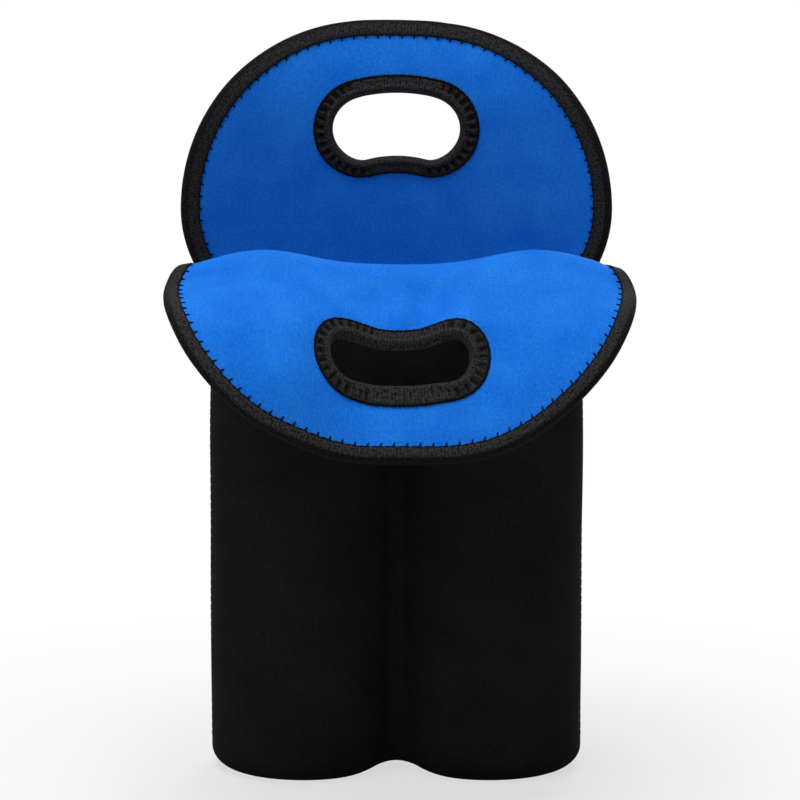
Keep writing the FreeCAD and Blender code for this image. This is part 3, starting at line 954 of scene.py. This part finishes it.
edgeThread = dict(inMm(spacing=2.85, length=3.5, radius=0.5), slant=6, zigzag=1.0)
frontTick = dict(inMm(spacing=5.7, length=3.0, radius=0.42), slant=72, zigzag=0.0)
backTick = dict(frontTick, length=2.0 * mm)
handleThread = dict(inMm(spacing=1.9, length=2.8, radius=0.75), slant=8, zigzag=1.0)
seamStitch = dict(inMm(spacing=2.0, length=4.4, radius=0.25, rise=0.05), slant=62, zigzag=1.0)
runningStitch = dict(inMm(spacing=3.4, length=2.7, radius=0.22, rise=-0.1), slant=0, zigzag=0.0)
guideStep = 0.5


def upWall(sheet, column, end):
    rows = np.arange(bodyRows["wall"], bodyRows[end], guideStep)
    return sheet.at(rows, np.full(len(rows), column))


def sideSeams():
    # where the front and the back panel meet, up to the free edge
    lines = []
    for column in (0.0, float(lastColumn)):
        front, back = (upWall(sheet, column, "freeEdge") for sheet in sheets.values())
        up = unit((front[1] + back[1]) * np.array([1, 0, 1]))
        lines.append((0.5 * (front[0] + back[0]) + up * (cloth["outside"] + seamStitch["rise"]), up, False))
    return lines


def creaseSeams():
    # down the front and the back crease, where the divider is sewn in
    lines = []
    for sheet in sheets.values():
        points, normals = upWall(sheet, lastColumn / 2, "shoulder")
        lines.append((points + normals * (cloth["outside"] + runningStitch["rise"]), normals, False))
    return lines


stitching = {}
for kind, name, looks in (("Edge", "EdgeStitching", (edgeThread, edgeThread)),
                          ("Ticks", "EdgeTicks", (frontTick, backTick)),
                          ("Handle", "HandleStitching", (handleThread, handleThread))):
    for label, look in zip(sheets, looks):
        stitching[label + kind] = sewn(label + name, stitchLines[label + kind], look)
stitching["sideSeams"] = sewn("sideSeamStitching", sideSeams(), seamStitch)
stitching["creases"] = sewn("creaseStitching", creaseSeams(), runningStitch)
print("stitches sewn")


# What moves with what

# each head: its body, its hinge, a direction along its cloth, and distances before and past the hinge
bends = {"front": {"body": "front_head", "hinge": frontHinge, "along": np.array([0, -0.9, 0.44]),
                   **inMm(before=8, past=12)},
         "back": {"body": "back_head", "hinge": backHinge, "along": np.array([0, 0, 1.0]),
                  **inMm(before=5, past=12)}}
for label, bend in bends.items():
    for piece in (shells[label], linings[label], tapes[label + "Edge"], stitching[label + "Edge"],
                  stitching[label + "Ticks"]):
        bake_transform(piece)
    for piece in (tapes[label + "Handle"], stitching[label + "Handle"]):
        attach(piece, bend["body"])
for piece in (basePanel, baseLining, divider, *innerTapes.values(), stitching["sideSeams"],
              stitching["creases"]):
    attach(piece, "pockets")

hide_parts("front_panel", "front_fold", "front_flap")
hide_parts("front_panel_lining", "front_fold_lining", "front_flap_lining")
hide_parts("back_panel", "back_fold", "back_flap")
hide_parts("back_panel_lining", "back_fold_lining", "back_flap_lining")
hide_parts("base_panel")
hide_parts("base_panel_lining")
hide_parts("centre_divider")
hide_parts("front_flap_binding")
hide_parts("back_flap_binding")
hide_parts("front_handle_binding")
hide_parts("back_handle_binding")
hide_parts("left_seam_tape")
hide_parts("right_seam_tape")

print("pieces tied to their bodies")


# Floor, light and camera

studio = {"floorSize": 30.0, "floor": "#dadada", "floorRoughness": 0.9, "sky": 0.08, "shadowNear": 0.1,
          "shadowFar": 0.4, "shadowShare": 0.35}
# place, aim, size and power
lamps = {"keyLamp": ((-0.9, -1.5, 1.5), (0, -0.05, 0.2), 1.2, 9),
         "fillLamp": ((1.2, -1.4, 0.9), (0, -0.05, 0.2), 1.2, 2),
         "topLamp": ((-0.15, -0.2, 1.9), (0, -0.05, 0.25), 1.2, 28),
         "backLamp": ((0.5, 1.7, 0.9), (0, 0.05, 0.2), 1.0, 14)}
shot = {"place": (0.0017, -1.8, 0.44), "pitch": 8.43, "lens": 175.6, "sensor": 36}


def paleFloor():
    half = studio["floorSize"] / 2
    made = bpy.data.meshes.new("floor")
    corners = [(-half, -half, 0), (half, -half, 0), (half, half, 0), (-half, half, 0)]
    made.from_pydata(corners, [], [(0, 1, 2, 3)])
    material, tree, shader = newMaterial("paleFloor")
    feed(tree, shader, {"Base Color": srgb(studio["floor"]), "Roughness": studio["floorRoughness"]})
    made.materials.append(material)
    addObject("floor", made)
    # the camera sees a white floor, part lit near the object, so that a soft shadow shows there
    rays = addNode(tree, "ShaderNodeLightPath").outputs
    place = addNode(tree, "ShaderNodeTexCoord").outputs["Object"]
    distance = addNode(tree, "ShaderNodeVectorMath", {0: place}, operation="LENGTH").outputs["Value"]
    white = addNode(tree, "ShaderNodeMapRange", {
        "Value": distance, "From Min": studio["shadowNear"], "From Max": studio["shadowFar"],
        "To Min": 1 - studio["shadowShare"], "To Max": 1.0}, interpolation_type="SMOOTHSTEP")
    seen = addNode(tree, "ShaderNodeMath", {0: rays["Is Camera Ray"], 1: white}, operation="MULTIPLY")
    glow = addNode(tree, "ShaderNodeEmission", {"Strength": 1.0})
    mixed = addNode(tree, "ShaderNodeMixShader", {0: seen, 1: shader, 2: glow})
    feed(tree, tree.nodes["Material Output"], {"Surface": mixed})


def paleSky():
    world = bpy.data.worlds.new("studio")
    world.use_nodes = True
    bpy.context.scene.world = world
    tree = world.node_tree
    rays = addNode(tree, "ShaderNodeLightPath").outputs
    seen = rays["Is Camera Ray"]
    for kind in ("Is Glossy Ray", "Is Transmission Ray"):
        seen = addNode(tree, "ShaderNodeMath", {0: seen, 1: rays[kind]}, operation="MAXIMUM")
    strength = addNode(tree, "ShaderNodeMapRange", {"Value": seen, "To Min": studio["sky"], "To Max": 1.0})
    feed(tree, tree.nodes["Background"], {"Color": (1, 1, 1, 1), "Strength": strength})


def softLamp(name, place, aim, size, power):
    lamp = bpy.data.lights.new(name, "AREA")
    lamp.shape = "DISK"
    lamp.size = size
    lamp.energy = power
    holder = addObject(name, lamp)
    holder.location = place
    holder.rotation_euler = (Vector(aim) - Vector(place)).to_track_quat("-Z", "Y").to_euler()


paleFloor()
paleSky()
for name, look in lamps.items():
    softLamp(name, *look)

camera = bpy.data.cameras.new("photoCamera")
camera.lens = shot["lens"]
camera.sensor_width = shot["sensor"]
cameraHolder = addObject("photoCamera", camera)
cameraHolder.location = shot["place"]
cameraHolder.rotation_euler = (math.radians(90 - shot["pitch"]), 0, 0)
bpy.context.scene.camera = cameraHolder
bpy.context.scene.view_settings.view_transform = "Standard"
print("stage set")
